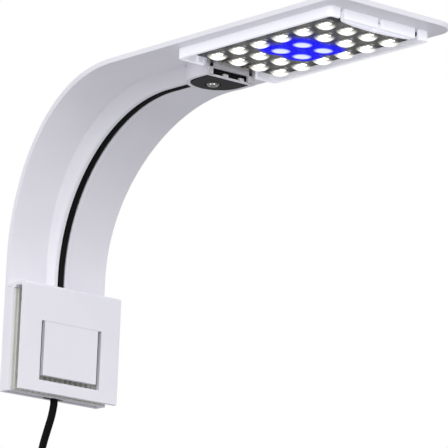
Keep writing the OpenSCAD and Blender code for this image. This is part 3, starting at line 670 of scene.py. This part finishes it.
ductPlan = {"wall": 2.0, "depth": 3.1, "root": 0.4, "bossRadius": 3.0, "hole": 1.1,
            "screwY": 22.5, "screwZ": (-6.0, -43.0), "sides": 28, "apart": 0.01, "edge": 0.3}


# behind the slot: two side walls, and four screw bosses, each a ring section turned about X
def clampDuct(plan, arm):
    foot, half = arm["foot"], arm["footWidth"] / 2
    back, front = arm["inner"] - plan["root"], arm["inner"] + plan["depth"]
    alongX, alongY = np.tile([1.0, 0, 0], (2, 1)), np.tile([0, 1.0, 0], (2, 1))
    turn = np.linspace(0, 2 * math.pi, plan["sides"], endpoint=False)[:, None]
    x = np.array([back, front, front, back])
    radius = np.array([plan["hole"], plan["hole"], plan["bossRadius"], plan["bossRadius"]])
    parts = []
    for side in (-1, 1):
        outer, near = side * half, side * (half - plan["wall"])
        section = [(back, near), (front, near), (front, outer), (back, outer)]
        path = [[0, 0, foot + plan["apart"]], [0, 0, -plan["apart"]]]
        points, faces = carryProfile(section, path, alongX, alongY)
        parts.append((points, outward(points, faces)))
        for z in plan["screwZ"]:
            rings = np.stack([np.tile(x, (plan["sides"], 1)),
                              side * plan["screwY"] + radius * np.cos(turn),
                              z + radius * np.sin(turn)], axis=-1)
            points, faces = rings.reshape(-1, 3), gridFaces(plan["sides"], len(x), True)
            parts.append((points, outward(points, faces)))
    return joinParts(parts)


for name, shape, material, edge, segments in (
        ("armSheet", armSheet(armPlan), whiteAbs, armPlan["edge"], 3),
        ("armCordChannel", cordChannel(channelPlan, armPlan), whiteAbs, channelPlan["edge"], 3),
        # the collar and the latch take the lighter ABS with the painted glow
        ("headCollar", headCollar(collarPlan, ringPlan), paintedGlowAbs, collarPlan["edge"], 2),
        ("blockRing", blockRing(ringPlan), whiteAbs, ringPlan["edge"], 2),
        ("springBow", springBow(bowPlan, modulePlan, collarPlan), paintedGlowAbs, bowPlan["edge"], 2),
        ("clampDuct", clampDuct(ductPlan, armPlan), whiteAbs, ductPlan["edge"], 2)):
    piece = makePiece(name, *shape, material, slot="white_shell", edge=edge, segments=segments)
    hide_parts("arm_shell")
print("stage: arm made")


softened("clamp_saddle", "clampSaddle", whiteAbs, edge=0.4)
softened("press_tongue", "pressTongue", whiteAbs, "tongue", edge=0.35)
softened("grip_pad", "gripPad", gripTpe, edge=0.25, segments=2)
for k in (1, 2, 3, 4):
    dress(f"saddle_screw_{k}", nickel)
print("stage: clamp made")


softened("module_base", "moduleBase", blackAbs, edge=0.3)
softened("clear_cover", "clearCover", clearPc, edge=0.45)
softened("connector_block", "connectorBlock", blackAbs, edge=0.6)
softened("head_screw", "headScrew", nickel, edge=0.5)
dress("led_board", boardResist)
dress("board_pads", tinned)
dress("board_resistors", chipGlaze)
dress("led_bodies", packagePpa)
dress("white_emitters", whiteLit)
dress("blue_emitters", blueLit)
dress("cover_gasket", blackRubber)
dress("cord_gland", blackRubber)
dress("lead_live", leadBrown)
dress("lead_neutral", leadBlue)
dress("contact_pins", turnedBrass)
dress("head_washer", nickel)
dress("cord_clip", blackRubber)
dress("cord_inner", cordPvc)

glowPlan = {"white": 5.4, "blue": 12.0, "z": 88.85, "apart": 0.03, "sides": 24, "rise": 2.15,
            "blueShare": 0.6, "rings": (0.0, 0.3, 0.55, 0.8, 1.0)}


# shallow domes in the cover's face that carry the painted bloom, one over each lamp of a colour:
# rings about the lamp's middle at part p of its radius, rise * (1 - p * p) below the rim, with the
# dome's own UV from 0 to 1;
# a blue one has only blueShare of that rise, and neighbours' rims lie a little apart in height
def glowPatches(name, blue, material):
    m = modulePlan
    column, row = np.meshgrid(np.arange(m["columns"]), np.arange(m["rows"]), indexing="ij")
    isBlue = np.isin(column, (2, 3)) & np.isin(row, (1, 2))
    x = (m["lampX"] + column * m["pitch"])[isBlue == blue]
    y = ((row - 1.5) * m["row"])[isBlue == blue]
    sides, radius = glowPlan["sides"], glowPlan["blue" if blue else "white"]
    angle = np.linspace(0, 2 * math.pi, sides, endpoint=False)
    part = np.array(glowPlan["rings"])
    circle = np.column_stack([np.cos(angle), np.sin(angle)])
    flat = (part[:, None, None] * circle[None]).reshape(-1, 2)
    drop = np.repeat(glowPlan["rise"] * (1 - part**2), sides)
    level = glowPlan["z"] - glowPlan["apart"] * ((column + row) % 3)[isBlue == blue]
    points = np.empty((len(x), len(flat), 3))
    points[..., 0] = x[:, None] + radius * flat[None, :, 0]
    points[..., 1] = y[:, None] + radius * flat[None, :, 1]
    points[..., 2] = level[:, None] - (glowPlan["blueShare"] if blue else 1) * drop[None]
    dome = np.array(gridFaces(len(part), sides))[:, ::-1]
    faces = np.concatenate([dome + k * len(flat) for k in range(len(x))])
    uvs = np.tile(0.5 + flat / 2, (len(x), 1))
    mesh = bpy.data.meshes.new(name)
    mesh.from_pydata((points.reshape(-1, 3) * mm).tolist(), [], faces.tolist())
    layer = mesh.uv_layers.new(name="patch")
    index = np.zeros(len(mesh.loops), int)
    mesh.loops.foreach_get("vertex_index", index)
    layer.data.foreach_set("uv", uvs[index].ravel())
    mesh.polygons.foreach_set("use_smooth", np.ones(len(mesh.polygons), bool))
    mesh.materials.append(material)
    shape = bmesh.new()
    shape.from_mesh(mesh)
    bmesh.ops.remove_doubles(shape, verts=shape.verts, dist=1e-7)
    shape.to_mesh(mesh)
    shape.free()
    piece = bpy.data.objects.new(name, mesh)
    bpy.context.scene.collection.objects.link(piece)
    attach(piece, "light")
    return piece


glowPatches("whiteGlow", False, whiteBloomPaint)
glowPatches("blueGlow", True, blueBloomPaint)
print("stage: lamp module made")


softened("switch_base", "switchBase", blackAbs, edge=0.8)
softened("switch_cover", "switchCover", blackAbs, edge=0.5)
softened("switch_rocker", "switchRocker", redRocker, "rocker", edge=0.4)
dress("switch_pin", nickel)

tiePlan = {"x": -22.0, "z": -177.4, "width": 10.0, "thick": 1.2, "boxX": 34.8, "boxY": 25.2,
           "corner": 2.4, "edge": 0.3}


# the hank's tie: a strap round a rounded rectangle
def hankTie(plan):
    t = plan["thick"] / 2
    line = roundRect(plan["x"] - plan["boxX"] / 2 - t, plan["x"] + plan["boxX"] / 2 + t,
                     plan["boxY"] + 2 * t, plan["corner"])
    low, high = plan["z"] - plan["width"] / 2, plan["z"] + plan["width"] / 2
    return standWall(line, plan["thick"], low, high, loop=True)


tie = makePiece("hankTie", *hankTie(tiePlan), blackRubber, slot="rubber_black",
                edge=tiePlan["edge"], segments=2)
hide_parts("hank_tie")

sleevePlan = {"x": -37.6, "y": 10.8, "top": -205.8, "length": 20.0, "thin": 2.6, "wide": 4.2,
              "grooves": 6, "groove": 0.55, "firstGroove": 0.06, "grooveSpan": 0.88,
              "ribbed": (0.04, 0.92), "steep": 2.0, "land": 0.9, "bore": 1.8, "boreDepth": 2.0,
              "point": 0.01}


# the plug's sleeve: a cone turned about the cord, t running from its top to its foot; its radius
# dips by groove * (steep * cos(turns of the grooves) - land), held between 0 and 1, where ribbed
def plugSleeve(plan, stations=73, sides=32):
    t = np.linspace(0, 1, stations)
    first, last = plan["ribbed"]
    turns = plan["grooves"] * (t - plan["firstGroove"]) / plan["grooveSpan"]
    dip = np.clip(np.cos(2 * math.pi * turns) * plan["steep"] - plan["land"], 0, 1)
    radius = plan["thin"] + (plan["wide"] - plan["thin"]) * t
    radius = radius - plan["groove"] * dip * ((t > first) & (t < last))
    radius = np.concatenate([[plan["bore"]], [plan["bore"]], radius, [plan["point"]]])
    foot = plan["top"] - plan["length"]
    z = np.concatenate([[plan["top"] - plan["boreDepth"]], [plan["top"]],
                        plan["top"] - plan["length"] * t, [foot]])
    angle = np.linspace(0, 2 * math.pi, sides, endpoint=False)
    rings = np.stack([plan["x"] + radius[:, None] * np.cos(angle),
                      plan["y"] + radius[:, None] * np.sin(angle),
                      np.repeat(z[:, None], sides, 1)], axis=-1)
    points, faces = closedTube(rings)
    return points, outward(points, faces)


sleeve = makePiece("plugSleeve", *plugSleeve(sleevePlan), blackRubber, slot="rubber_black")
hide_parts("plug_sleeve")
softened("plug_body", "plugBody", cordPvc, edge=1.2)
dress("plug_pin_1", nickel)
dress("plug_pin_2", nickel)

print("stage: cord pieces made")


stagePlan = {"floor": -0.42, "size": 2.4, "below": 0.05, "level": 0.62, "above": 1.0,
             "dimTo": -0.45, "levelFrom": 0.15}
softBoxes = [
    # name, place, size, power, aimed at
    ("topBox", (0.1, -0.5, 1.7), 1.2, 9.0, (0.08, 0, 0)),
    ("frontBox", (2.1, -0.6, 0.4), 0.9, 16.0, (0.0, 0, 0)),
    ("sideBox", (0.2, -2.0, 0.3), 0.8, 7.5, (0.05, 0, 0.05)),
]


def makeStage(plan):
    half = plan["size"] / 2
    mesh = bpy.data.meshes.new("floor")
    corners = [(-half, -half), (half, -half), (half, half), (-half, half)]
    mesh.from_pydata([(x, y, plan["floor"]) for x, y in corners], [], [(0, 1, 2, 3)])
    mesh.materials.append(grainedMaterial("paleFloor", ("#b4b4b6", "#bababc"), (0.7, 0.8), 3, 200,
                                          (0.02, 0.1)))
    floor = bpy.data.objects.new("floor", mesh)
    bpy.context.scene.collection.objects.link(floor)


# the room: white where the camera sees it; for everything else a light that is dim from below,
# up to height dimTo, brighter at eye level, from levelFrom on, and brightest from above
def makeWorld(plan):
    world = bpy.data.worlds.new("room")
    world.use_nodes = True
    tree = world.node_tree
    tree.nodes.clear()
    path = addNode(tree, "ShaderNodeLightPath")
    place = addNode(tree, "ShaderNodeTexCoord")
    height = addNode(tree, "ShaderNodeSeparateXYZ", links={0: place.outputs["Generated"]})
    low = addNode(tree, "ShaderNodeMapRange", {"From Min": plan["dimTo"],
                                               "From Max": plan["levelFrom"],
                                               "To Min": plan["below"], "To Max": plan["level"]},
                  {"Value": height.outputs["Z"]})
    high = addNode(tree, "ShaderNodeMapRange", {"From Min": 0.0, "From Max": 1.0, "To Min": 0.0,
                                                "To Max": plan["above"] - plan["level"]},
                   {"Value": height.outputs["Z"]})
    both = addNode(tree, "ShaderNodeMath", {"operation": "ADD"},
                   {0: low.outputs[0], 1: high.outputs[0]})
    room = addNode(tree, "ShaderNodeBackground", {"Color": linear("#f6f6f9")},
                   {"Strength": both.outputs[0]})
    seen = addNode(tree, "ShaderNodeBackground", {"Color": (1, 1, 1, 1), "Strength": 1.0})
    mix = addNode(tree, "ShaderNodeMixShader", links={0: path.outputs["Is Camera Ray"],
                                                      1: room.outputs[0], 2: seen.outputs[0]})
    addNode(tree, "ShaderNodeOutputWorld", links={"Surface": mix.outputs[0]})
    bpy.context.scene.world = world


def addSoftBox(name, place, size, power, target):
    data = bpy.data.lights.new(name, "AREA")
    data.shape = "SQUARE"
    data.size = size
    data.energy = power
    lamp = bpy.data.objects.new(name, data)
    back = np.array(place, float) - np.array(target, float)
    back /= np.linalg.norm(back)
    right = np.cross([0.0, 0.001, 1.0], back)
    right /= np.linalg.norm(right)
    up = np.cross(back, right)
    matrix = Matrix.Identity(4)
    for i in range(3):
        matrix[i][0], matrix[i][1], matrix[i][2], matrix[i][3] = right[i], up[i], back[i], place[i]
    lamp.matrix_world = matrix
    bpy.context.scene.collection.objects.link(lamp)


makeStage(stagePlan)
makeWorld(stagePlan)
for box in softBoxes:
    addSoftBox(*box)
bpy.context.scene.view_settings.view_transform = "Standard"
print("stage: floor and lights made")

bpy.context.view_layer.update()
